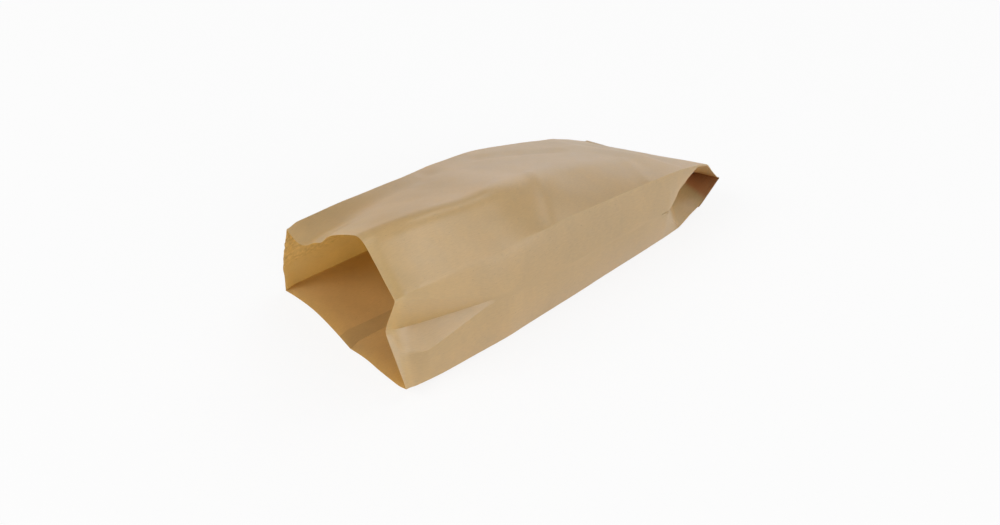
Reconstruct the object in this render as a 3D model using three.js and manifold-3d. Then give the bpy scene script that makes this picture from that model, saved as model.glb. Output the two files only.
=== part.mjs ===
// Gusseted kraft paper bag, opened and lying on its back panel.
// One folded and glued sheet. Millimetres: X from the mouth to the closed end, Y from the near
// gusset to the far one, Z up. The origin is moved to the bottom centre of the bag at the end.
import * as THREE from 'three';
import { mergeVertices } from 'three/addons/utils/BufferGeometryUtils.js';
import Module from 'manifold-3d';

// The flat bag, as it leaves the bag machine
const PANEL = 140;          // width of the front and of the back panel
const GUSSET = 70;          // full width of each side gusset, folded in two when flat
const REACH = 310;          // from the mouth to the closing fold, measured along the opened bag
const FLAP = 21;            // closed end folded over and glued to the back panel
const SEAM = 12;            // overlap of the glued lengthwise seam
const SEAM_PLACE = 60;      // from the near bottom fold to the seam
const PAPER = 0.3;          // wall as modelled, thicker than the real sheet
const FLAP_STACK = 1.2;     // the folded-over layers together
const CLOSED_STACK = 2;     // all layers of the tube pressed flat at the closing fold
const HALF_GUSSET = GUSSET / 2;

// How far the mouth has been worked open, and how it fades into the tube
const DENT = 15;            // near gusset crease, pushed in at the mouth
const DENT_LENGTH = 72;     // from the mouth to where that dent runs out
const DENT_FADE = 1.3;      // power by which it fades
const DENT_LIFT = 2.5;      // its crease rides this far above the middle of the wall at the mouth
const DENT_END_LIFT = 6;    // and this far where the dent runs out
const DENT_SETTLE = 60;     // from there on, until it is back in the middle
const FACET_TOP = 0.33;     // the flat facet below the dent: its share of the folded leg at the mouth
const FACET_FOOT = 19;      // from the mouth to where its lower edge reaches the wall
const FACET_START = 0.5;    // how high up the lower half of the wall that edge starts
const DIP = 11;             // sag of the front panel's far part at the mouth
const DIP_LENGTH = 70;
const DIP_SKEW = 2.5;       // power that puts the sag towards the far fold
const HUMPS = [             // waves of the back panel at the mouth, as shares from its far fold
  { from: 0.00, to: 0.57, height: 6 },
  { from: 0.57, to: 0.95, height: 4 },
];
const HUMP_LENGTH = 45;
const MOUTH_FADE = 1.5;     // power by which the sag and the humps fade
const CORNER_REACH = 0.22;  // share of the back panel that lifts with its near corner
const CORNER_CURVE = 1.5;
const FAR_BULGE = 4;        // far gusset, pushed out at the mouth
const FAR_BULGE_LENGTH = 80;
const WALL_BOW = 5;         // outward bow of the near wall along the tube

// A half of the near wall turns no nearer than this to its fold or to the wall's middle, as a
// share of the way between them
const WALL_TURN_LIMITS = [0.08, 0.75];

const MOUTH_CLEARANCE = 2;  // the air is cut out from this far before the mouth
const RIDGE_TURN = 8;       // the ridge is a soft turn of this reach, not a crease

// The pocket that the near gusset folds into at the closed end, back from the closing fold
const POCKET_TIP = 71;      // where the gusset crease meets the wall
const POCKET_TOP = 29;      // where the pocket reaches the near top fold
const POCKET_BOTTOM = 44;   // where the pocket reaches the near bottom fold
const CAVITY_STOP = 7;      // the layers lie on each other from here to the closing fold

// How the tube stands at places along it.
// along: share of the reach. side: sideways drift of the near bottom fold.
// lift, farLift: bottom folds off the table. near, far: heights of the side walls as a share of
// the gusset. nearLean, farLean: their lean inward, in degrees. ridge: paper from the near top
// fold to the ridge. slack: how much the sag shortens the front panel.
const STANCE_KEYS = [
  'along', 'side', 'lift', 'farLift', 'near', 'nearLean', 'far', 'farLean', 'ridge', 'slack',
];
const STANCES = [
  [0.000, -1.3, 8.7, 0.6, 0.920, 2.9, 0.91, 18.3, 39.0, 3.5],
  [0.030, 1.2, 4.2, 0.4, 0.950, 2.7, 0.94, 19.0, 38.7, 2.3],
  [0.113, 1.0, 1.7, 0.0, 0.975, 3.0, 0.99, 20.0, 38.0, 0.5],
  [0.274, 1.0, 0.0, 0.0, 0.937, 3.5, 0.94, 18.0, 37.0, 0.0],
  [0.419, 1.5, 0.0, 0.0, 0.936, 2.5, 0.77, 8.0, 38.0, 0.0],
  [0.581, 3.0, 0.0, 0.0, 0.886, 1.5, 0.64, 2.8, 44.0, 0.0],
  [0.758, 4.0, 0.0, 0.0, 0.829, 0.0, 0.46, 5.1, 40.0, 0.0],
  [0.845, 5.0, 0.5, 0.0, 0.757, 0.0, 0.35, 7.6, 40.0, 0.0],
  [0.906, 6.0, 6.5, 1.0, 0.607, 0.0, 0.23, 5.0, 40.0, 0.0],
  [0.935, 6.0, 10.0, 2.0, 0.514, 0.0, 0.16, 0.0, 40.0, 0.0],
  [0.965, 6.0, 17.0, 3.0, 0.280, 0.0, 0.09, 0.0, 40.0, 0.0],
  [1.000, 6.0, 26.0, 5.0, 0.000, 0.0, 0.00, 0.0, 40.0, 0.0],
];

// Steps of the mesh round the tube
const NEAR_STRIP_STEPS = 5;
const RIDGE_STEPS = 4;
const FAR_STRIP_STEPS = 11;
const FAR_HALF_STEPS = 4;
const BACK_STEPS = 9;
const WALL_PART_STEPS = 3;

// Steps of the mesh along it
const DENT_STEPS = 8;
const TUBE_STEPS = 9;
const POCKET_STEPS = 4;
const END_STEPS = 3;

// The folded-over strip
const FLAP_STEPS = 8;
const FLAP_INSET = 0.004;   // share of the width left free at each side

const FLAT = 1e-9;          // a corner of a cap this thin counts as lying in line
const SAME_POINT = 1e-4;    // vertices closer than this are one

const point = (y, z) => new THREE.Vector2(y, z);
const between = (a, b, share) => a.clone().lerp(b, share);
const faded = (x, length) => Math.max(0, 1 - x / length);

// A stance value at a share of the reach: a smooth curve that never overshoots its rows
function stanceValue(key, share) {
  const along = STANCES.map((row) => row[0]);
  const values = STANCES.map((row) => row[STANCE_KEYS.indexOf(key)]);
  const last = STANCES.length - 1;
  const row = Math.min(last - 1, along.filter((a) => a <= share).length - 1);
  const rise = (i) => (values[i + 1] - values[i]) / (along[i + 1] - along[i]);
  const slope = (i) => {
    if (i === 0) return 0;
    if (i === last) return rise(last - 1);
    const before = rise(i - 1);
    const after = rise(i);
    return before * after <= 0 ? 0 : 2 * before * after / (before + after);
  };
  const span = along[row + 1] - along[row];
  const t = (share - along[row]) / span;
  return (2 * t ** 3 - 3 * t ** 2 + 1) * values[row]
    + (t ** 3 - 2 * t ** 2 + t) * span * slope(row)
    + (3 * t ** 2 - 2 * t ** 3) * values[row + 1]
    + (t ** 3 - t ** 2) * span * slope(row + 1);
}

// The top of a wall of a given height that leans by an angle, inward being +1 or -1 along Y
function wallTop(foot, height, degrees, inward) {
  const lean = THREE.MathUtils.degToRad(degrees);
  return point(foot.x + inward * height * Math.sin(lean), foot.y + height * Math.cos(lean));
}

// The four long folds where the tube is cut across at x
function foldsAt(x) {
  const share = x / REACH;
  const value = (key) => stanceValue(key, share);
  const nearBottom = point(value('side'), value('lift'));
  const drop = value('lift') - value('farLift');
  const farBottom = point(value('side') + Math.sqrt(PANEL ** 2 - drop ** 2), value('farLift'));
  const nearHeight = Math.max(CLOSED_STACK, value('near') * GUSSET);
  const farHeight = Math.max(CLOSED_STACK, value('far') * GUSSET);
  return {
    nearBottom,
    farBottom,
    nearTop: wallTop(nearBottom, nearHeight, value('nearLean'), 1),
    farTop: wallTop(farBottom, farHeight, value('farLean'), -1),
  };
}

// Where two taut strips of paper from a and from b meet above the line between them
function meeting(a, b, fromA, fromB) {
  const gap = a.distanceTo(b);
  if (fromA + fromB <= gap) return between(a, b, fromA / (fromA + fromB));
  const along = (fromA ** 2 - fromB ** 2 + gap ** 2) / (2 * gap);
  const height = Math.sqrt(Math.max(0, fromA ** 2 - along ** 2));
  const direction = b.clone().sub(a).divideScalar(gap);
  return a.clone().addScaledVector(direction, along)
    .add(point(-direction.y, direction.x).multiplyScalar(height));
}

// Points from a towards b, without b
function stretch(a, b, steps) {
  return Array.from({ length: steps }, (_, k) => between(a, b, k / steps));
}

// The front panel from the near top fold over the soft ridge to the far top fold
function frontPanel(x, folds) {
  const share = x / REACH;
  const strip = stanceValue('ridge', share);
  const ridge = meeting(folds.nearTop, folds.farTop, strip, PANEL - strip - stanceValue('slack', share));
  const turnIn = between(ridge, folds.nearTop, RIDGE_TURN / strip);
  const turnOut = between(ridge, folds.farTop, RIDGE_TURN / (PANEL - strip));
  const turn = Array.from({ length: RIDGE_STEPS }, (_, k) => {
    const t = k / RIDGE_STEPS;
    return between(between(turnIn, ridge, t), between(ridge, turnOut, t), t);
  });
  const dip = DIP * faded(x, DIP_LENGTH) ** MOUTH_FADE;
  const farStrip = stretch(turnOut, folds.farTop, FAR_STRIP_STEPS).map((p, k) =>
    point(p.x, p.y - dip * Math.sin(Math.PI * (k / FAR_STRIP_STEPS) ** DIP_SKEW)));
  return [...stretch(folds.nearTop, turnIn, NEAR_STRIP_STEPS), ...turn, ...farStrip];
}

// How deep a gusset folds in when its two long folds stand this far apart
function foldDepth(height) {
  return Math.sqrt(Math.max(0, HALF_GUSSET ** 2 - (height / 2) ** 2));
}

// The middles of the two side walls, and the direction across the bag from near to far
function middles(folds) {
  const near = between(folds.nearBottom, folds.nearTop, 0.5);
  const far = between(folds.farBottom, folds.farTop, 0.5);
  return { near, far, across: far.clone().sub(near).normalize() };
}

// The far gusset, bulging at the mouth and folding in along its crease towards the closed end
function farGusset(x, folds) {
  const { far, across } = middles(folds);
  const depth = foldDepth(folds.farTop.distanceTo(folds.farBottom));
  const bulge = faded(x, FAR_BULGE_LENGTH);
  const crease = far.clone().addScaledVector(across, FAR_BULGE * bulge - depth * (1 - bulge));
  return [
    ...stretch(folds.farTop, crease, FAR_HALF_STEPS),
    ...stretch(crease, folds.farBottom, FAR_HALF_STEPS),
  ];
}

// Height of the back panel above the straight line between its folds, waved at the mouth
function backWave(x, shareFromFar) {
  const hump = HUMPS.find(({ from, to }) => shareFromFar > from && shareFromFar < to);
  if (!hump) return 0;
  const across = (shareFromFar - hump.from) / (hump.to - hump.from);
  return hump.height * Math.sin(Math.PI * across) * faded(x, HUMP_LENGTH) ** MOUTH_FADE;
}

// Shares across the back panel, from its far fold, with both edges of the seam among them
function backShares() {
  const seamFar = 1 - (SEAM_PLACE + SEAM) / PANEL;
  const seamNear = 1 - SEAM_PLACE / PANEL;
  const step = PAPER / PANEL;
  const before = Array.from({ length: BACK_STEPS }, (_, k) => seamFar * k / BACK_STEPS);
  const after = Array.from({ length: BACK_STEPS }, (_, k) => seamNear + (1 - seamNear) * k / BACK_STEPS);
  return [...before, seamFar, seamFar + step, seamNear - step, ...after];
}

// The back panel. Only its near corner lifts off the table at the mouth; the whole near edge
// rises with the closing fold.
function backPanel(x, folds) {
  const atMouth = x < REACH / 2;
  return backShares().map((share) => {
    const flat = between(folds.farBottom, folds.nearBottom, share);
    const corner = Math.max(0, (share - 1 + CORNER_REACH) / CORNER_REACH);
    const lifted = folds.nearBottom.y * corner ** CORNER_CURVE;
    return point(flat.x, (atMouth ? lifted : flat.y) + backWave(x, share));
  });
}

// The near wall's turning points, from the near bottom fold up: dented in at the mouth, whole
// along the tube, and folded into a pocket at the closed end
function nearWallTurns(x, folds) {
  const { near, across } = middles(folds);
  const { nearBottom, nearTop } = folds;
  if (x < DENT_LENGTH) {
    const gone = x / DENT_LENGTH;
    const foot = near.clone().add(point(0, THREE.MathUtils.lerp(DENT_LIFT, DENT_END_LIFT, gone)));
    const crease = foot.clone().addScaledVector(across, DENT * (1 - gone) ** DENT_FADE);
    const onLeg = between(crease, nearBottom, FACET_TOP);
    const onWall = turnPoint(nearBottom, foot, crease, FACET_START + (1 - FACET_START) * gone);
    const low = between(onLeg, onWall, Math.min(1, x / FACET_FOOT));
    return { low, crease, high: turnPoint(nearTop, foot, crease, gone), bow: WALL_BOW * gone };
  }
  const fromEnd = REACH - x;
  const topShare = pocketShare(fromEnd, POCKET_TOP);
  const bottomShare = pocketShare(fromEnd, POCKET_BOTTOM);
  const foot = near.clone().add(point(0, DENT_END_LIFT * faded(x - DENT_LENGTH, DENT_SETTLE)));
  const depth = foldDepth(nearTop.distanceTo(nearBottom)) * topShare;
  const crease = foot.clone().addScaledVector(across, depth);
  const low = turnPoint(nearBottom, foot, crease, 1 - bottomShare);
  const high = turnPoint(nearTop, foot, crease, 1 - topShare);
  return { low, crease, high, bow: WALL_BOW * (1 - bottomShare) };
}

// Where a half of the wall turns from lying flush to folding in. A half that is all folded in has
// no turn, and takes the middle of its leg.
function turnPoint(fold, foot, crease, flushShare) {
  const [least, most] = WALL_TURN_LIMITS;
  if (flushShare < least) return between(fold, crease, 0.5);
  return between(fold, foot, Math.min(most, flushShare));
}

// How far the pocket has opened towards one long fold: 0 at its tip, 1 where it reaches the fold
function pocketShare(fromEnd, reached) {
  return THREE.MathUtils.clamp((POCKET_TIP - fromEnd) / (POCKET_TIP - reached), 0, 1);
}

function nearWall(x, folds) {
  const { low, crease, high, bow } = nearWallTurns(x, folds);
  const turns = [folds.nearBottom, low, crease, high, folds.nearTop];
  const points = turns.slice(1).flatMap((turn, k) => stretch(turns[k], turn, WALL_PART_STEPS));
  const up = folds.nearTop.clone().sub(folds.nearBottom);
  return points.map((p) => {
    const t = p.clone().sub(folds.nearBottom).dot(up) / up.lengthSq();
    return point(p.x - 4 * bow * t * (1 - t), p.y);
  });
}

// The tube cut across at x: one closed loop of outer points
function outerRing(x) {
  const folds = foldsAt(x);
  return [...frontPanel(x, folds), ...farGusset(x, folds), ...backPanel(x, folds), ...nearWall(x, folds)];
}

// Which loop points lie on the lengthwise seam, where the paper is double
function seamRange() {
  const start = NEAR_STRIP_STEPS + RIDGE_STEPS + FAR_STRIP_STEPS + 2 * FAR_HALF_STEPS + BACK_STEPS + 1;
  return [start, start + 1];
}

// The same loop moved inward by the paper
function innerRing(x) {
  const outer = outerRing(x);
  const [seamStart, seamEnd] = seamRange();
  return outer.map((p, k) => {
    const before = p.clone().sub(outer.at(k - 1)).normalize();
    const after = outer[(k + 1) % outer.length].clone().sub(p).normalize();
    const side = (d) => point(d.y, -d.x);
    const normal = side(before).add(side(after));
    const wall = k >= seamStart && k <= seamEnd ? 2 * PAPER : PAPER;
    return p.clone().addScaledVector(normal, 2 * wall / normal.lengthSq());
  });
}

// Cuts across the tube: where each stretch of it ends and how many steps it has
function cutPlaces() {
  const stretches = [
    [DENT_LENGTH, DENT_STEPS],
    [REACH - POCKET_TIP, TUBE_STEPS],
    [REACH - POCKET_BOTTOM, POCKET_STEPS],
    [REACH - POCKET_TOP, END_STEPS],
    [REACH - FLAP, END_STEPS],
    [REACH - CAVITY_STOP, POCKET_STEPS],
    [REACH, END_STEPS],
  ];
  const places = [0];
  for (const [end, steps] of stretches) {
    const start = places.at(-1);
    for (let k = 1; k <= steps; k += 1) places.push(THREE.MathUtils.lerp(start, end, k / steps));
  }
  return places;
}

// Twice the area of a triangle, positive when it turns anticlockwise
const cornerSize = (a, b, c) => (b.x - a.x) * (c.y - a.y) - (b.y - a.y) * (c.x - a.x);

// A flat cap over an outline: the fattest free corner is cut off again and again, and points
// that lie in line are kept, so that the cap shares every edge of its loop
function capFaces(outline) {
  const clockwise = THREE.ShapeUtils.area(outline) < 0;
  const way = clockwise ? -1 : 1;
  const left = outline.map((_, k) => k);
  const faces = [];
  while (left.length > 3) {
    let best = { fat: -Infinity, at: 0 };
    for (let k = 0; k < left.length; k += 1) {
      const [i, j, m] = [left.at(k - 1), left[k], left[(k + 1) % left.length]];
      const [a, b, c] = [outline[i], outline[j], outline[m]];
      const size = way * cornerSize(a, b, c);
      const longest = Math.max(a.distanceTo(b), b.distanceTo(c), c.distanceTo(a));
      const fat = size / longest ** 2;
      const inside = (p) => [[a, b], [b, c], [c, a]].every(([s, t]) => way * cornerSize(s, t, p) > 0);
      const free = !left.some((n) => n !== i && n !== j && n !== m && inside(outline[n]));
      if (free && fat >= -FLAT && fat > best.fat) best = { fat, at: k, face: [i, j, m] };
    }
    faces.push(best.face);
    left.splice(best.at, 1);
  }
  faces.push(left);
  return clockwise ? faces.map((face) => [...face].reverse()) : faces;
}

// A row of loops joined into one closed body, with a cap on its first and its last loop. Seen along
// the row each loop runs clockwise, and inPlane gives a point's place in the plane of its loop.
function closedLoft(loops, inPlane) {
  const size = loops[0].length;
  const positions = loops.flatMap((loop) => loop.flatMap((p) => [p.x, p.y, p.z]));
  const triangles = [];
  for (let row = 0; row < loops.length - 1; row += 1) {
    for (let k = 0; k < size; k += 1) {
      const a = row * size + k;
      const b = row * size + (k + 1) % size;
      triangles.push(a, a + size, b, b, a + size, b + size);
    }
  }
  const addCap = (row, flipped) => {
    for (const face of capFaces(loops[row].map(inPlane))) {
      const corner = face.map((index) => row * size + index);
      triangles.push(...(flipped ? corner.reverse() : corner));
    }
  };
  addCap(0, true);
  addCap(loops.length - 1, false);
  return { positions, triangles };
}

const inSpace = (x, loop) => loop.map((p) => new THREE.Vector3(x, p.x, p.y));
const acrossTube = (p) => point(p.y, p.z);
const alongTube = (p) => point(p.x, p.z);

const wasm = await Module();
wasm.setup();

function solidFrom({ positions, triangles }) {
  return new wasm.Manifold(new wasm.Mesh({
    numProp: 3,
    vertProperties: new Float32Array(positions),
    triVerts: new Uint32Array(triangles),
  }));
}

// The outside of the tube as a full body
function tubeBody() {
  return solidFrom(closedLoft(cutPlaces().map((x) => inSpace(x, outerRing(x))), acrossTube));
}

// The air inside it, which runs out through the mouth
function tubeAir() {
  const places = cutPlaces().filter((x) => x <= REACH - CAVITY_STOP);
  const loops = places.map((x) => inSpace(x, innerRing(x)));
  const outside = inSpace(-MOUTH_CLEARANCE, innerRing(0));
  return solidFrom(closedLoft([outside, ...loops], acrossTube));
}

// The folded-over end: a strip that wraps the closing fold and lies under the back panel
function flapBody() {
  const hold = PAPER / 2;
  const places = cutPlaces().filter((x) => x >= REACH - FLAP);
  const loops = Array.from({ length: FLAP_STEPS + 1 }, (_, k) => {
    const share = THREE.MathUtils.lerp(1 - FLAP_INSET, FLAP_INSET, k / FLAP_STEPS);
    const onBack = places.map((x) => {
      const folds = foldsAt(x);
      const p = between(folds.nearBottom, folds.farBottom, share);
      return new THREE.Vector3(x, p.x, p.y);
    });
    const edge = onBack.at(-1);
    const over = new THREE.Vector3(0, 0, hold);
    const under = new THREE.Vector3(0, 0, -FLAP_STACK);
    const wrap = [
      new THREE.Vector3(edge.x - hold, edge.y, edge.z + CLOSED_STACK - hold),
      new THREE.Vector3(edge.x + FLAP_STACK / 2, edge.y, edge.z + CLOSED_STACK - hold),
      new THREE.Vector3(edge.x + FLAP_STACK, edge.y, edge.z + CLOSED_STACK / 2),
      new THREE.Vector3(edge.x + FLAP_STACK, edge.y, edge.z - FLAP_STACK / 2),
    ];
    const upper = onBack.slice(0, -1).map((p) => p.clone().add(over));
    const lower = onBack.map((p) => p.clone().add(under)).reverse();
    return [...upper, ...wrap, ...lower];
  });
  return solidFrom(closedLoft(loops, alongTube));
}

function bagGeometry() {
  const solid = tubeBody().subtract(tubeAir()).add(flapBody());
  const { vertProperties, triVerts } = solid.getMesh();
  const geometry = new THREE.BufferGeometry();
  geometry.setAttribute('position', new THREE.BufferAttribute(vertProperties, 3));
  geometry.setIndex(new THREE.BufferAttribute(triVerts, 1));
  const merged = mergeVertices(geometry, SAME_POINT);
  merged.computeBoundingBox();
  const { min, max } = merged.boundingBox;
  merged.translate(-(min.x + max.x) / 2, -(min.y + max.y) / 2, -min.z);
  return merged;
}

const kraftPaper = new THREE.MeshStandardMaterial({ color: 0xb89a6c, roughness: 0.75, metalness: 0 });

const paperBag = new THREE.Mesh(bagGeometry(), kraftPaper);
paperBag.name = 'paper_bag';

const group = new THREE.Group();
group.name = 'gusseted_paper_bag';
group.add(paperBag);

export default group;
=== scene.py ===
"""Gusseted kraft paper bag: the thin folded sheet, its paper, and the photograph's view of it."""
import math

import bmesh
import bpy
from mathutils import Matrix, Vector, noise


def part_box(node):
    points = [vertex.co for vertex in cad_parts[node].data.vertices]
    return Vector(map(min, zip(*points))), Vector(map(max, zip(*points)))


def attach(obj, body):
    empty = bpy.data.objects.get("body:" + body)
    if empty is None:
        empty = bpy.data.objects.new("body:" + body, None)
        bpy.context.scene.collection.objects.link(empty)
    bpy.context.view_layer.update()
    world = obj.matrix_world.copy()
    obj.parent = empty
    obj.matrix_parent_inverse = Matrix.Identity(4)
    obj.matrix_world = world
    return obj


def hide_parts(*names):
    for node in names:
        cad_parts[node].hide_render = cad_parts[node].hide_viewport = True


MM = 0.001

# The flat bag, in millimetres
PANEL = 140
GUSSET = 70
HALF_GUSSET = GUSSET / 2
REACH = 310          # from the mouth to the closing fold, along the opened bag
FLAP = 21            # closed end folded over and glued to the back panel
SEAM = 12            # overlap of the glued lengthwise seam
SEAM_PLACE = 60      # from the near bottom fold to the seam

# The paper, and its layers where the tube is pressed flat at the closing fold
PAPER = 0.12
CLOSED_STACK = 1.0
CLOSED_PAPER = 0.02
FLAP_GAP = 0.12

# Places round the flat tube, counted from the near top fold
FAR_TOP_PLACE = PANEL
FAR_BOTTOM_PLACE = PANEL + GUSSET
NEAR_BOTTOM_PLACE = 2 * PANEL + GUSSET
ALL_ROUND = 2 * (PANEL + GUSSET)
SEAM_START = NEAR_BOTTOM_PLACE - SEAM_PLACE - SEAM

# How far the mouth has been worked open
DENT = 15              # near gusset crease, pushed in at the mouth
DENT_LENGTH = 72       # from the mouth to where that dent runs out
DENT_FADE = 1.3        # power by which it fades
DENT_LIFT = 2.5        # its crease rides this far above the middle of the wall at the mouth
DENT_END_LIFT = 6      # and this far where the dent runs out
DENT_SETTLE = 60       # from there on, until it is back in the middle
FACET_TOP = 0.33       # the flat facet below the dent: its share of the folded leg at the mouth
FACET_FOOT = 19        # from the mouth to where its lower edge reaches the wall
FACET_START = 0.5      # how high up the lower half of the wall that edge starts
DIP = 11               # sag of the front panel's far part at the mouth
DIP_LENGTH = 70
DIP_SKEW = 2.5         # power that puts the sag towards the far fold
HUMP_LENGTH = 45
MOUTH_FADE = 1.5       # power by which the sag and the humps fade
CORNER_REACH = 0.22    # share of the back panel that lifts with its near corner
CORNER_CURVE = 1.5
FAR_BULGE = 4          # far gusset, pushed out at the mouth
FAR_BULGE_LENGTH = 80
WALL_BOW = 5           # outward bow of the near wall along the tube
RIDGE_TURN = 8         # the ridge is a soft turn of this reach, not a crease

# Waves of the back panel at the mouth: start and end as shares from its far fold, and height
HUMPS = [(0.00, 0.57, 6), (0.57, 0.95, 4)]

# How near to its own fold a turn of the near wall comes, and how near to the wall's middle
WALL_TURN_LIMITS = (0.06, 0.93)

# The near wall's turns are soft at the rim, and sharp from this length on
RIM_TURN_PASSES = 4
RIM_TURN_LENGTH = 15

# The pocket of the near gusset at the closed end, back from the closing fold
POCKET_TIP = 71        # where the gusset crease meets the wall
POCKET_TOP = 29        # where the pocket reaches the near top fold
POCKET_BOTTOM = 44     # where the pocket reaches the near bottom fold

# How the tube stands: along as a share of the reach; the near bottom fold's place and lift; the far
# one's lift; each wall's height as a share of the gusset, and its inward lean in degrees; the front
# panel's strip from the near top fold to the ridge, and how much of the panel's width is lost
STANCE_KEYS = (
    "along", "side", "lift", "far_lift", "near", "near_lean", "far", "far_lean", "ridge", "slack",
)
STANCES = [
    (0.000, -1.3, 8.7, 0.6, 0.920, 2.9, 0.91, 18.3, 39, 3.5),
    (0.030, 1.2, 4.2, 0.4, 0.950, 2.7, 0.94, 19, 38.7, 2.3),
    (0.113, 1.0, 1.7, 0.0, 0.975, 3.0, 0.99, 20, 38, 0.5),
    (0.274, 1.0, 0.0, 0.0, 0.937, 3.5, 0.94, 18, 37, 0),
    (0.419, 1.5, 0.0, 0.0, 0.936, 2.5, 0.77, 8, 38, 0),
    (0.581, 3.0, 0.0, 0.0, 0.886, 1.5, 0.64, 2.8, 44, 0),
    (0.758, 4.0, 0.0, 0.0, 0.829, 0, 0.46, 5.1, 40, 0),
    (0.845, 5.0, 0.5, 0.0, 0.757, 0, 0.35, 7.6, 40, 0),
    (0.906, 6.0, 6.5, 1.0, 0.607, 0, 0.23, 5, 40, 0),
    (0.935, 6.0, 10.0, 2.0, 0.514, 0, 0.16, 0, 40, 0),
    (0.965, 6.0, 17.0, 3.0, 0.280, 0, 0.09, 0, 40, 0),
    (1.000, 6.0, 26.0, 5.0, 0.0, 0, 0.0, 0, 40, 0),
]

# Steps of the fine mesh round the tube and along it
NEAR_STRIP_STEPS = 16
RIDGE_STEPS = 10
FAR_STRIP_STEPS = 40
FAR_HALF_STEPS = 20
BACK_STEPS = 18
WALL_PART_STEPS = 9
CUT_SPACING = 1.6
BEND_STEPS = 6
FOLD_ANGLE = 24        # folds sharper than this, in degrees, are shaded as folds

# Small relief of the paper: seed, size of the waves and their height, in millimetres
WAVES = [(3.1, 55, 0.5), (7.7, 21, 0.22), (11.3, 8, 0.07)]
CRINKLES = (5.9, 4.0, 1.3)
CRINKLE_LENGTH = 75    # from the mouth to where the far gusset's crinkles run out
# Their tone is painted light and shade on the crinkles
CRINKLE_FADE = 20      # and from there on to where their tone does
CRINKLE_FOOT = 187     # their lowest place round the tube
CRINKLE_LEAN = 0.13    # by which that place rises along the bag
RELIEF_ROOM = 25       # back from the closing fold, where the relief fades

# Wrinkles across the sheet: from and to, each as distance from the mouth and place round the
# tube; then the half width and the height
WRINKLES = [
    ((120, 0), (140, 40), 5, 0.7),
    ((218, 2), (236, 38), 5, 0.6),
    ((158, 116), (222, 92), 9, -1.6),
    ((226, 92), (262, 140), 9, 0.9),
    ((84, 352), (76, 418), 8, 0.5),
    ((25, 116), (105, 124), 14, -2.0),
    ((0, 187), (70, 178), 5, 1.6),
    ((233, 389), (236, 391), 3, -0.9),
    ((244, 395), (247, 397), 3, -0.8),
    ((254, 402), (257, 404), 3, -0.7),
    ((240, 372), (262, 362), 4, -0.7),
    ((0, 92), (14, 91), 7, -2.0),
]

# The photograph's camera, in the frame of the flat bag: mouth at X 0, near bottom fold at Y 0
CAMERA_PLACE = (-182.2, -283.9, 340.7)
CAMERA_AZIMUTH = 47.9
CAMERA_TILT = 36.0
FOCAL_PIXELS = 800
PHOTO_WIDTH = 1000
SENSOR = 36

# Material slots of the sheet
OUTSIDE, INSIDE, EDGE = 0, 1, 2

# The paper's colours, linear: what each face of the sheet gives back and lets through
GLAZED = (0.230, 0.199, 0.101)
# The unglazed inner side: its own matte colour, lifted lighter and redder as painted light for the
# glow inside the bag
UNGLAZED_AND_GLOW = (0.35, 0.25, 0.115)
# Painted shade: the dark brown of the shadowed pocket at the closed end
POCKET_SHADE = (0.225, 0.105, 0.042)
LET_THROUGH = (0.47, 0.36, 0.165)

# Each material of the sheet: colour, roughness, specular level, strength of its fine creases and of
# the painted light and shade on the far gusset's crinkles
PAPERS = [
    ("kraft_glazed", GLAZED, 0.425, 1.0, 0.12),
    ("kraft_unglazed", UNGLAZED_AND_GLOW, 0.755, 0.5, 0.5),
    ("kraft_cut_edge", UNGLAZED_AND_GLOW, 0.855, 0.5, 0.3),
]

# Where painted shade darkens the near gusset's lower half in the pocket at the closed end, and how
# softly that band starts and ends
POCKET_SHADE_START = 295
POCKET_SHADE_BLUR = 2
POCKET_SHADE_END_BLUR = 0.5

# Patterns of the paper, in waves a metre: fibres and flecks are longer along the bag
FIBRES = (260, 1500, 1)
FLECKS = (500, 1900, 1)
CLOUDS = 120.0
PATCHES = 28.0
CREASES = 420.0
# Painted light and shade: mottling that stands in for the light on the far gusset's crinkles
CRINKLE_SHADING = 330.0

# How much each pattern changes the paper's tone, as a share, and its roughness
NOISE_SPAN = (0.3, 0.7)
FIBRE_SHARE = 0.04
CLOUD_SHARE = 0.02
PATCH_SHARE = 0.03
# Painted light and shade of the crinkles, as a share of the tone
CRINKLE_SHADING_SHARE = 0.28
FLECK_SPAN = (0.70, 0.78)
FLECK_TONE = 0.78
SEAM_TONE = 0.88
GLOSS_SHARE = 0.035

# Fine bumps: the depth of fibres and creases in millimetres, and the strength of the fibres
FIBRE_DEPTH = 0.1
FIBRE_STRENGTH = 0.35
CREASE_DEPTH = 0.3

# The studio: strengths at which a colour renders about as it is written
ROOM_LIGHT = 0.46
LAMP_DISTANCE = 4.0
LAMPS = [
    ("front_light", (-0.22, -0.92, 0.33), 1.6, 0.17),
    ("side_light", (0.30, -0.95, 0.10), 3.2, 0.40),
    ("back_light", (0.80, 0.55, 0.10), 3.6, 0.20),
    ("top_light", (0.55, -0.15, 0.82), 2.4, 0.14),
    ("mouth_light", (-0.75, 0.25, 0.60), 2.4, 0.40),
]
FLOOR_TONE = 0.9
FLOOR_REACH = 4.0
FLOOR_GAP = 0.3        # below the bag, in millimetres
SHADOW_SHARE = 0.15    # how much of the soft shadow the camera sees


def point(y, z):
    return Vector((y, z))


def faded(x, length):
    """1 at x 0, falling to 0 at the length."""
    return max(0.0, 1 - x / length)


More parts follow.
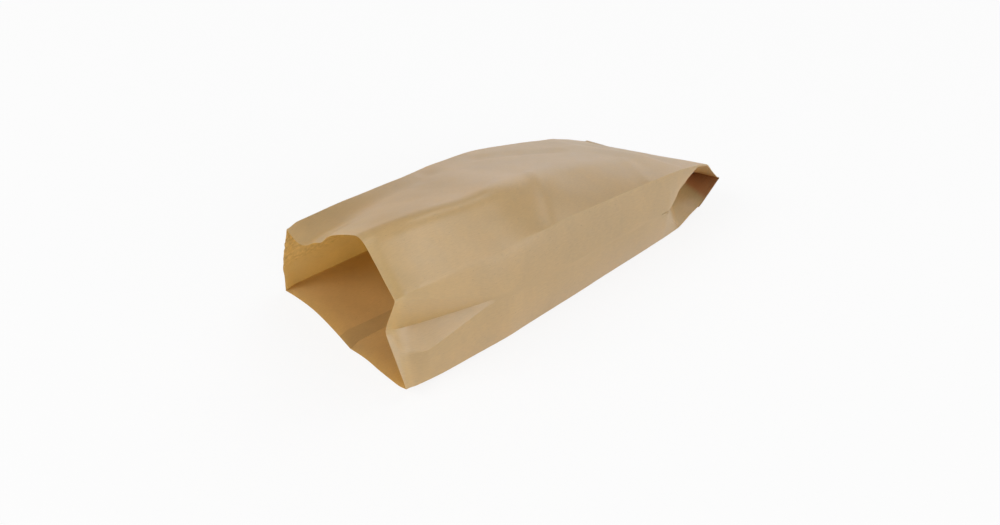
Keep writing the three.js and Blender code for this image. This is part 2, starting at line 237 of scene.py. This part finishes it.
def stance_value(key, share):
    """A stance value at a share of the reach: a smooth curve that never overshoots its rows."""
    column = STANCE_KEYS.index(key)
    last = len(STANCES) - 1
    along = [row[0] for row in STANCES]
    values = [row[column] for row in STANCES]
    row = min(last - 1, sum(1 for a in along if a <= share) - 1)

    def rise(i):
        return (values[i + 1] - values[i]) / (along[i + 1] - along[i])

    def slope(i):
        if i == 0:
            return 0.0
        if i == last:
            return rise(last - 1)
        before, after = rise(i - 1), rise(i)
        return 0.0 if before * after <= 0 else 2 * before * after / (before + after)

    span = along[row + 1] - along[row]
    t = (share - along[row]) / span
    return (
        (2 * t**3 - 3 * t**2 + 1) * values[row]
        + (t**3 - 2 * t**2 + t) * span * slope(row)
        + (3 * t**2 - 2 * t**3) * values[row + 1]
        + (t**3 - t**2) * span * slope(row + 1)
    )


def wall_top(foot, height, degrees, inward):
    lean = math.radians(degrees)
    return point(foot.x + inward * height * math.sin(lean), foot.y + height * math.cos(lean))


def folds_at(x):
    """The four long folds where the tube is cut across at x."""
    share = x / REACH
    value = {key: stance_value(key, share) for key in STANCE_KEYS[1:]}
    near_bottom = point(value["side"], value["lift"])
    drop = value["lift"] - value["far_lift"]
    far_bottom = point(value["side"] + math.sqrt(PANEL**2 - drop**2), value["far_lift"])
    near_height = max(CLOSED_STACK, value["near"] * GUSSET)
    far_height = max(CLOSED_STACK, value["far"] * GUSSET)
    return {
        "near_bottom": near_bottom,
        "far_bottom": far_bottom,
        "near_top": wall_top(near_bottom, near_height, value["near_lean"], 1),
        "far_top": wall_top(far_bottom, far_height, value["far_lean"], -1),
        "ridge": value["ridge"],
        "slack": value["slack"],
    }


def meeting(a, b, from_a, from_b):
    """Where two taut strips of paper from a and from b meet above the line between them."""
    gap = (b - a).length
    if from_a + from_b <= gap:
        return a.lerp(b, from_a / (from_a + from_b))
    along = (from_a**2 - from_b**2 + gap**2) / (2 * gap)
    height = math.sqrt(max(0.0, from_a**2 - along**2))
    direction = (b - a) / gap
    return a + direction * along + point(-direction.y, direction.x) * height


def stretch(a, b, steps):
    """Even steps from a up to, and without, b."""
    return [a.lerp(b, k / steps) for k in range(steps)]


def front_panel(x, folds):
    strip = folds["ridge"]
    ridge = meeting(folds["near_top"], folds["far_top"], strip, PANEL - strip - folds["slack"])
    turn_in = ridge.lerp(folds["near_top"], RIDGE_TURN / strip)
    turn_out = ridge.lerp(folds["far_top"], RIDGE_TURN / (PANEL - strip))
    turn = []
    for k in range(RIDGE_STEPS):
        t = k / RIDGE_STEPS
        turn.append(turn_in.lerp(ridge, t).lerp(ridge.lerp(turn_out, t), t))
    dip = DIP * faded(x, DIP_LENGTH) ** MOUTH_FADE
    far_strip = []
    for k, p in enumerate(stretch(turn_out, folds["far_top"], FAR_STRIP_STEPS)):
        sag = dip * math.sin(math.pi * (k / FAR_STRIP_STEPS) ** DIP_SKEW)
        far_strip.append(point(p.x, p.y - sag))
    return stretch(folds["near_top"], turn_in, NEAR_STRIP_STEPS) + turn + far_strip


def fold_depth(height):
    """How far in the crease of a gusset lies, where the wall stands this high."""
    return math.sqrt(max(0.0, HALF_GUSSET**2 - (height / 2) ** 2))


def middles(folds):
    near = folds["near_bottom"].lerp(folds["near_top"], 0.5)
    far = folds["far_bottom"].lerp(folds["far_top"], 0.5)
    return near, far, (far - near).normalized()


def far_gusset(x, folds):
    _, far, across = middles(folds)
    depth = fold_depth((folds["far_top"] - folds["far_bottom"]).length)
    bulge = faded(x, FAR_BULGE_LENGTH)
    crease = far + across * (FAR_BULGE * bulge - depth * (1 - bulge))
    upper = stretch(folds["far_top"], crease, FAR_HALF_STEPS)
    return upper + stretch(crease, folds["far_bottom"], FAR_HALF_STEPS)


def back_wave(x, share_from_far):
    lifted = 0.0
    for start, end, height in HUMPS:
        if start < share_from_far < end:
            lifted += height * math.sin(math.pi * (share_from_far - start) / (end - start))
    return lifted * faded(x, HUMP_LENGTH) ** MOUTH_FADE


def back_shares():
    """Shares across the back panel from its far fold, with both edges of the seam among them."""
    seam_far = 1 - (SEAM_PLACE + SEAM) / PANEL
    seam_near = 1 - SEAM_PLACE / PANEL
    step = PAPER / PANEL
    before = [seam_far * k / BACK_STEPS for k in range(BACK_STEPS)]
    band = [seam_far, seam_far + step, (seam_far + seam_near) / 2, seam_near - step]
    after = [seam_near + (1 - seam_near) * k / BACK_STEPS for k in range(BACK_STEPS)]
    return before + band + after


def corner_height(folds, share):
    """The back panel near the mouth: flat on the table but for its raised near corner."""
    raised = max(0.0, (share - 1 + CORNER_REACH) / CORNER_REACH)
    return folds["near_bottom"].y * raised**CORNER_CURVE


def back_panel(x, folds):
    points = []
    for share in back_shares():
        taut = folds["far_bottom"].lerp(folds["near_bottom"], share)
        height = corner_height(folds, share) if x < REACH / 2 else taut.y
        points.append(point(taut.x, height + back_wave(x, share)))
    return points


def turn_point(fold, foot, share):
    """A turn of the near wall, at a share of the way from one of its folds to the middle."""
    least, most = WALL_TURN_LIMITS
    return fold.lerp(foot, min(most, max(least, share)))


def pocket_share(from_end, reached):
    """0 where the pocket starts, 1 from where it reaches a fold to the closing fold."""
    return min(1.0, max(0.0, (POCKET_TIP - from_end) / (POCKET_TIP - reached)))


def dent_turns(x, folds):
    """The near wall's turns where the mouth's dent and its facet shape it, and the wall's bow."""
    near, _, across = middles(folds)
    bottom, top = folds["near_bottom"], folds["near_top"]
    gone = x / DENT_LENGTH
    foot = near + point(0, DENT_LIFT + (DENT_END_LIFT - DENT_LIFT) * gone)
    crease = foot + across * DENT * (1 - gone) ** DENT_FADE
    on_leg = crease.lerp(bottom, FACET_TOP)
    on_wall = turn_point(bottom, foot, FACET_START + (1 - FACET_START) * gone)
    low = on_leg.lerp(on_wall, min(1.0, x / FACET_FOOT))
    high = turn_point(top, foot, gone)
    return [bottom, low, crease, high, top], WALL_BOW * gone


def pocket_turns(x, folds):
    """The near wall's turns from the dent to the closed end and its pocket, and the wall's bow."""
    near, _, across = middles(folds)
    bottom, top = folds["near_bottom"], folds["near_top"]
    top_share = pocket_share(REACH - x, POCKET_TOP)
    bottom_share = pocket_share(REACH - x, POCKET_BOTTOM)
    foot = near + point(0, DENT_END_LIFT * faded(x - DENT_LENGTH, DENT_SETTLE))
    crease = foot + across * fold_depth((top - bottom).length) * top_share
    low = turn_point(bottom, foot, 1 - bottom_share)
    high = turn_point(top, foot, 1 - top_share)
    return [bottom, low, crease, high, top], WALL_BOW * (1 - bottom_share)


def rounded(points, share):
    """The same line with its turns softened by a share."""
    soft = points
    for _ in range(RIM_TURN_PASSES):
        inner = [(a + b * 2 + c) / 4 for a, b, c in zip(soft, soft[1:], soft[2:])]
        soft = [soft[0]] + inner + [soft[-1]]
    return [p.lerp(q, share) for p, q in zip(points, soft)]


def near_wall(x, folds):
    turns, bow = dent_turns(x, folds) if x < DENT_LENGTH else pocket_turns(x, folds)
    bottom, top = turns[0], turns[-1]
    points = [p for a, b in zip(turns, turns[1:]) for p in stretch(a, b, WALL_PART_STEPS)]

    def bowed(p):
        up = (p - bottom).dot(top - bottom) / (top - bottom).length_squared
        return point(p.x - 4 * bow * up * (1 - up), p.y)

    return rounded([bowed(p) for p in points], faded(x, RIM_TURN_LENGTH))


def ring(x):
    """The tube cut across at x, from the near top fold over the front panel and round."""
    folds = folds_at(x)
    return front_panel(x, folds) + far_gusset(x, folds) + back_panel(x, folds) + near_wall(x, folds)


def cut_places():
    """Cuts across the tube at an even spacing, with the turns of the pocket among them."""
    from_end = [POCKET_TIP, POCKET_BOTTOM, POCKET_TOP, FLAP, 0]
    marks = [0, DENT_LENGTH] + [REACH - back for back in from_end]
    places = []
    for a, b in zip(marks, marks[1:]):
        steps = max(2, round((b - a) / CUT_SPACING))
        places += [a + (b - a) * k / steps for k in range(steps)]
    return places + [REACH]


def places_round():
    """The place of each ring point round the flat tube, in millimetres."""
    ridge = STANCES[0][STANCE_KEYS.index("ridge")]
    spans = [
        (0, ridge - RIDGE_TURN, NEAR_STRIP_STEPS),
        (ridge - RIDGE_TURN, ridge + RIDGE_TURN, RIDGE_STEPS),
        (ridge + RIDGE_TURN, FAR_TOP_PLACE, FAR_STRIP_STEPS),
        (FAR_TOP_PLACE, FAR_BOTTOM_PLACE, 2 * FAR_HALF_STEPS),
    ]
    front = [a + (b - a) * k / steps for a, b, steps in spans for k in range(steps)]
    back = [FAR_BOTTOM_PLACE + PANEL * share for share in back_shares()]
    wall_steps = 4 * WALL_PART_STEPS
    wall = [NEAR_BOTTOM_PLACE + GUSSET * k / wall_steps for k in range(wall_steps)]
    return front + back + wall


def standing_rings():
    """The rings of the standing tube: how far along the sheet each lies, and its points."""
    return [(x, [Vector((x, p.x, p.y)) for p in ring(x)]) for x in cut_places()]


def on_back(x, across):
    """The back panel at x, at a share across it from its near fold."""
    folds = folds_at(x)
    return folds["near_bottom"].lerp(folds["far_bottom"], across)


def pressed_layers():
    """The ring at the closing fold: each point's share across the back panel and height on it."""
    folds = folds_at(REACH)
    span = folds["far_bottom"].x - folds["near_bottom"].x
    layers = []
    for p in ring(REACH):
        across = (p.x - folds["near_bottom"].x) / span
        layers.append((across, p.y - on_back(REACH, across).y))
    return layers


def bent(across, height, angle):
    """A point of the pressed tube, turned by an angle round the closing fold."""
    base = on_back(REACH, across)
    radius = height + FLAP_GAP
    return Vector((
        REACH + radius * math.sin(angle),
        base.x,
        base.y - FLAP_GAP + radius * math.cos(angle),
    ))


def laid(across, height, back):
    """The same point turned right over, and lying this far back along the underside."""
    base = on_back(REACH - back, across)
    return Vector((REACH - back, base.x, base.y - 2 * FLAP_GAP - height))


def flap_rings():
    """The tube pressed flat, bent round the closing fold and laid under the back panel."""
    layers = pressed_layers()
    rings = []
    for k in range(1, BEND_STEPS + 1):
        points = [bent(*layer, math.pi * k / BEND_STEPS) for layer in layers]
        rings.append((REACH + CLOSED_STACK * k / BEND_STEPS, points))
    steps = round(FLAP / CUT_SPACING)
    for k in range(1, steps + 1):
        back = FLAP * k / steps
        points = [laid(*layer, back) for layer in layers]
        rings.append((REACH + CLOSED_STACK + back, points))
    return rings


def outward_normals(rings):
    normals = []
    for i, (_, points) in enumerate(rings):
        before = rings[max(0, i - 1)][1]
        after = rings[min(len(rings) - 1, i + 1)][1]
        count = len(points)
        row = []
        for k in range(count):
            along = after[k] - before[k]
            round_tube = points[(k + 1) % count] - points[k - 1]
            row.append(along.cross(round_tube).normalized())
        normals.append(row)
    return normals


def wave(seed, size, height, x, place):
    return height * noise.noise(Vector((x / size, place / size, seed)))


def wrinkle(start, end, half_width, height, x, place):
    """A soft ridge or valley along a line on the flat sheet."""
    a, b, p = Vector(start), Vector(end), Vector((x, place))
    along = min(1.0, max(0.0, (p - a).dot(b - a) / (b - a).length_squared))
    distance = (p - a.lerp(b, along)).length
    return height * math.exp(-((distance / half_width) ** 2))


def room(x):
    """1 along the open tube, falling to 0 at the closing fold, where the layers of paper meet."""
    return min(1.0, max(0.0, (REACH - x) / RELIEF_ROOM))


def relief(x, place):
    """How far the sheet stands out from its smooth form."""
    height = sum(wave(*each, x, place) for each in WAVES)
    height += sum(wrinkle(*each, x, place) for each in WRINKLES)
    from_middle = abs(place - FAR_TOP_PLACE - HALF_GUSSET / 2)
    upper_half = faded(from_middle, HALF_GUSSET / 2)
    height += wave(*CRINKLES, x, place) * upper_half * faded(x, CRINKLE_LENGTH)
    return height * room(x)


def thickness(x, place):
    layers = 2 if SEAM_START < place < SEAM_START + SEAM else 1
    return CLOSED_PAPER + (PAPER * layers - CLOSED_PAPER) * room(x)


def sheet_sides():
    """How far along each row of the sheet lies, and its outer and its inner side as points."""
    rings = standing_rings() + flap_rings()
    places = places_round()
    outer, inner = [], []
    for (x, points), normals in zip(rings, outward_normals(rings)):
        out_row, in_row = [], []
        for p, normal, place in zip(points, normals, places):
            moved = p + normal * relief(x, place)
            moved.z = max(moved.z, 0.0)
            out_row.append(moved)
            in_row.append(moved - normal * thickness(x, place))
        outer.append(out_row)
        inner.append(in_row)
    return [x for x, _ in rings], outer, inner


def tube_mesh():
    """The sheet as a closed thin shell, with the paper's own lengths as its UV map."""
    bm = bmesh.new()
    uv = bm.loops.layers.uv.new("paper")
    lengths, outer, inner = sheet_sides()
    places = places_round() + [ALL_ROUND]
    rows = {
        OUTSIDE: [[bm.verts.new(p * MM) for p in row] for row in outer],
        INSIDE: [[bm.verts.new(p * MM) for p in row] for row in inner],
    }
    size = len(outer[0])
    last = len(lengths) - 1

    def add_face(material, corners):
        face = bm.faces.new([rows[side][i][k % size] for side, i, k in corners])
        face.material_index = material
        face.smooth = material != EDGE
        for loop, (_, i, k) in zip(face.loops, corners):
            loop[uv].uv = (lengths[i] * MM, places[k] * MM)

    for k in range(size):
        for i in range(last):
            corners = [(i, k), (i + 1, k), (i + 1, k + 1), (i, k + 1)]
            add_face(OUTSIDE, [(OUTSIDE, *corner) for corner in corners])
            add_face(INSIDE, [(INSIDE, *corner) for corner in reversed(corners)])
        mouth = [(OUTSIDE, 0, k), (OUTSIDE, 0, k + 1), (INSIDE, 0, k + 1), (INSIDE, 0, k)]
        end = [(INSIDE, last, k), (INSIDE, last, k + 1), (OUTSIDE, last, k + 1), (OUTSIDE, last, k)]
        add_face(EDGE, mouth)
        add_face(EDGE, end)
    bm.normal_update()
    for edge in bm.edges:
        edge.smooth = edge.calc_face_angle(0.0) < math.radians(FOLD_ANGLE)
    mesh = bpy.data.meshes.new("paper_bag_sheet")
    bm.to_mesh(mesh)
    bm.free()
    return mesh


def add_piece(name, mesh, *materials):
    piece = bpy.data.objects.new(name, mesh)
    bpy.context.scene.collection.objects.link(piece)
    for material in materials:
        mesh.materials.append(material)
    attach(piece, "root")
    return piece


class Nodes:
    """A short way to write a node tree. Places on the sheet are given in millimetres."""

    def __init__(self, name):
        self.material = bpy.data.materials.new(name)
        self.material.use_nodes = True
        self.tree = self.material.node_tree
        self.tree.nodes.clear()

    def add(self, kind, inputs=None, **settings):
        node = self.tree.nodes.new(kind)
        for key, value in settings.items():
            setattr(node, key, value)
        for key, value in (inputs or {}).items():
            if isinstance(value, bpy.types.NodeSocket):
                self.tree.links.new(value, node.inputs[key])
            else:
                node.inputs[key].default_value = value
        return node

    def math(self, operation, *values):
        return self.add("ShaderNodeMath", dict(enumerate(values)), operation=operation).outputs[0]

    def product(self, first, *others):
        for other in others:
            first = self.math("MULTIPLY", first, other)
        return first

    def scaled(self, colour, share):
        inputs = {0: colour, "Scale": share}
        return self.add("ShaderNodeVectorMath", inputs, operation="SCALE").outputs[0]

    def noise(self, where, scale, detail):
        inputs = {"Vector": where, "Scale": scale, "Detail": detail}
        return self.add("ShaderNodeTexNoise", inputs).outputs["Fac"]

    def long_noise(self, where, scales, detail):
        """Noise with its own scale along the bag and round it."""
        longer = self.add("ShaderNodeMapping", {"Vector": where, "Scale": scales}).outputs[0]
        return self.noise(longer, 1.0, detail)

    def spread(self, value, given, wanted):
        """A value carried from one range to another and held inside it."""
        node = self.add("ShaderNodeMapRange", {"Value": value})
        for limit, number in zip(("From Min", "From Max", "To Min", "To Max"), (*given, *wanted)):
            node.inputs[limit].default_value = number
        return node.outputs[0]

    def varied(self, value, middle, share):
        """Noise as a change of up to a share either way from a middle value."""
        return self.spread(value, NOISE_SPAN, (middle - share, middle + share))

    def rising(self, value, start, end):
        """0 up to the start and 1 from the end on."""
        return self.spread(value, (start * MM, end * MM), (0.0, 1.0))

    def falling(self, value, start, end):
        """1 up to the start and 0 from the end on."""
        return self.spread(value, (start * MM, end * MM), (1.0, 0.0))

    def within(self, value, start, width):
        """1 from the start over a width, and 0 elsewhere."""
        return self.math("COMPARE", value, (start + width / 2) * MM, width / 2 * MM)


def seam_band(n, place):
    """1 on the lengthwise seam, where the paper is double, and 0 elsewhere."""
    return n.within(place, SEAM_START, SEAM)


def pocket_shade_band(n, along, place):
    """1 on the near gusset's lower half in the closed end's pocket, where painted shade falls, and
    0 elsewhere.
    """
    return n.product(
        n.rising(along, POCKET_SHADE_START - POCKET_SHADE_BLUR, POCKET_SHADE_START + POCKET_SHADE_BLUR),
        n.falling(along, REACH, REACH + POCKET_SHADE_END_BLUR),
        n.within(place, NEAR_BOTTOM_PLACE, HALF_GUSSET),
    )


def crinkled_band(n, along, place):
    """1 on the far gusset's crinkled part inside the mouth, where painted light and shade mottle
    the tone, and 0 elsewhere.
    """
    leaning = n.math("MULTIPLY_ADD", along, CRINKLE_LEAN, place)
    return n.product(
        n.rising(leaning, FAR_TOP_PLACE - 1, FAR_TOP_PLACE + 1),
        n.falling(leaning, CRINKLE_FOOT - 1, CRINKLE_FOOT + 1),
        n.falling(along, CRINKLE_LENGTH, CRINKLE_LENGTH + CRINKLE_FADE),
    )


def kraft(name, base, roughness, specular, crease_and_shading_strength):
    """Kraft paper: cloudy pulp, fibres along the bag, flecks, and a share of light let through."""
    n = Nodes(name)
    where = n.add("ShaderNodeUVMap", uv_map="paper").outputs["UV"]
    apart = n.add("ShaderNodeSeparateXYZ", {"Vector": where})
    along, place = apart.outputs["X"], apart.outputs["Y"]

    fibres = n.long_noise(where, FIBRES, 4.0)
    clouds = n.noise(where, CLOUDS, 3.0)
    even_tone = n.product(
        n.varied(fibres, 1, FIBRE_SHARE),
        n.varied(clouds, 1, CLOUD_SHARE),
        n.varied(n.noise(where, PATCHES, 2.0), 1, PATCH_SHARE),
        n.spread(n.long_noise(where, FLECKS, 1.0), FLECK_SPAN, (1.0, FLECK_TONE)),
        n.spread(seam_band(n, place), (0.0, 1.0), (1.0, SEAM_TONE)),
    )
    # Painted light and shade on the far gusset's crinkles: a mottled tone inside the mouth
    crinkle_shading = n.varied(n.noise(where, CRINKLE_SHADING, 2.0), 0, CRINKLE_SHADING_SHARE * crease_and_shading_strength)
    crinkled = n.product(crinkle_shading, crinkled_band(n, along, place))
    tone = n.math("MULTIPLY_ADD", even_tone, crinkled, even_tone)

    # Painted shade: in the closed end's pocket the paper's colour gives way to a dark brown
    mix = {0: pocket_shade_band(n, along, place), 4: base, 5: POCKET_SHADE}
    paper = n.add("ShaderNodeMix", mix, data_type="VECTOR").outputs[1]
    grain = n.add("ShaderNodeBump", {
        "Height": fibres,
        "Strength": FIBRE_STRENGTH,
        "Distance": FIBRE_DEPTH * MM,
    })
    bump = n.add("ShaderNodeBump", {
        "Height": n.noise(where, CREASES, 2.0),
        "Strength": crease_and_shading_strength,
        "Distance": CREASE_DEPTH * MM,
        "Normal": grain.outputs[0],
    })
    surface = n.add("ShaderNodeBsdfPrincipled", {
        "Base Color": n.scaled(paper, tone),
        "Roughness": n.varied(clouds, roughness, GLOSS_SHARE),
        "Normal": bump.outputs[0],
    })
    surface.inputs["Specular IOR Level"].default_value = specular
    through = n.add("ShaderNodeBsdfTranslucent", {"Color": n.scaled(LET_THROUGH, tone)})
    both = n.add("ShaderNodeAddShader", {0: surface.outputs[0], 1: through.outputs[0]})
    n.add("ShaderNodeOutputMaterial", {"Surface": both.outputs[0]})
    return n.material


def white_ground(name):
    """A white floor: the camera sees it white, with a share of the soft shadow left in it."""
    n = Nodes(name)
    plain = n.add("ShaderNodeBsdfDiffuse", {"Color": (FLOOR_TONE, FLOOR_TONE, FLOOR_TONE, 1)})
    white = n.add("ShaderNodeEmission", {"Color": (1, 1, 1, 1), "Strength": 1.0})
    path = n.add("ShaderNodeLightPath")
    seen = n.math("MAXIMUM", path.outputs["Is Camera Ray"], path.outputs["Is Glossy Ray"])
    share = n.product(seen, 1 - SHADOW_SHARE)
    mixed = n.add("ShaderNodeMixShader", {0: share, 1: plain.outputs[0], 2: white.outputs[0]})
    n.add("ShaderNodeOutputMaterial", {"Surface": mixed.outputs[0]})
    return n.material


def make_floor():
    mesh = bpy.data.meshes.new("floor")
    ends = [(-1, -1), (1, -1), (1, 1), (-1, 1)]
    corners = [(x * FLOOR_REACH, y * FLOOR_REACH, -FLOOR_GAP * MM) for x, y in ends]
    mesh.from_pydata(corners, [], [(0, 1, 2, 3)])
    floor = bpy.data.objects.new("floor", mesh)
    bpy.context.scene.collection.objects.link(floor)
    mesh.materials.append(white_ground("floor"))


def make_camera(origin):
    data = bpy.data.cameras.new("camera")
    data.sensor_width = SENSOR
    data.lens = SENSOR * FOCAL_PIXELS / PHOTO_WIDTH
    camera = bpy.data.objects.new("camera", data)
    camera.location = (Vector(CAMERA_PLACE) * MM) + origin
    azimuth, tilt = math.radians(CAMERA_AZIMUTH), math.radians(CAMERA_TILT)
    level = math.cos(tilt)
    look = Vector((level * math.cos(azimuth), level * math.sin(azimuth), -math.sin(tilt)))
    camera.rotation_mode = "QUATERNION"
    camera.rotation_quaternion = look.to_track_quat("-Z", "Y")
    bpy.context.scene.collection.objects.link(camera)
    bpy.context.scene.camera = camera


def make_world():
    """An even white room: dimmer as a light than as the white that the camera sees."""
    world = bpy.data.worlds.new("studio")
    world.use_nodes = True
    tree = world.node_tree
    path = tree.nodes.new("ShaderNodeLightPath")
    strength = tree.nodes.new("ShaderNodeMapRange")
    strength.inputs["To Min"].default_value = ROOM_LIGHT
    strength.inputs["To Max"].default_value = 1.0
    tree.links.new(path.outputs["Is Camera Ray"], strength.inputs["Value"])
    background = tree.nodes["Background"]
    background.inputs["Color"].default_value = (1, 1, 1, 1)
    tree.links.new(strength.outputs[0], background.inputs["Strength"])
    bpy.context.scene.world = world


def make_soft_light(name, toward, size, strength):
    """A wide soft light far off in one direction, aimed at the bag."""
    data = bpy.data.lights.new(name, "AREA")
    data.shape = "DISK"
    data.size = size
    data.energy = strength * (math.pi * LAMP_DISTANCE) ** 2
    lamp = bpy.data.objects.new(name, data)
    direction = Vector(toward).normalized()
    lamp.location = direction * LAMP_DISTANCE
    lamp.rotation_mode = "QUATERNION"
    lamp.rotation_quaternion = (-direction).to_track_quat("-Z", "Y")
    bpy.context.scene.collection.objects.link(lamp)


def bag_origin():
    """The origin of the flat bag's frame, the mouth's near bottom corner, in the row frame."""
    low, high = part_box("paper_bag")
    sides = [p.x for x in cut_places() for p in ring(x)]
    return Vector((low.x, (low.y + high.y) / 2 - (min(sides) + max(sides)) / 2 * MM, 0))


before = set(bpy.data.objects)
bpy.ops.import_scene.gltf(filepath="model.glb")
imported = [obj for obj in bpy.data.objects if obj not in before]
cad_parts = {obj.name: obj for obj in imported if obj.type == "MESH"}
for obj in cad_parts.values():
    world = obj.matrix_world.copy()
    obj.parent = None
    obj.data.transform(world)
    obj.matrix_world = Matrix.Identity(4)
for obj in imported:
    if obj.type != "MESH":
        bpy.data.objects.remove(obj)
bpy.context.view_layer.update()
bpy.context.scene.view_settings.view_transform = "Standard"

origin = bag_origin()
make_camera(origin)
make_world()
for lamp in LAMPS:
    make_soft_light(*lamp)
make_floor()

sheet_mesh = tube_mesh()
sheet_mesh.transform(Matrix.Translation(origin))
sheet = add_piece("paper_sheet", sheet_mesh, *[kraft(*paper) for paper in PAPERS])
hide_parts("paper_bag")
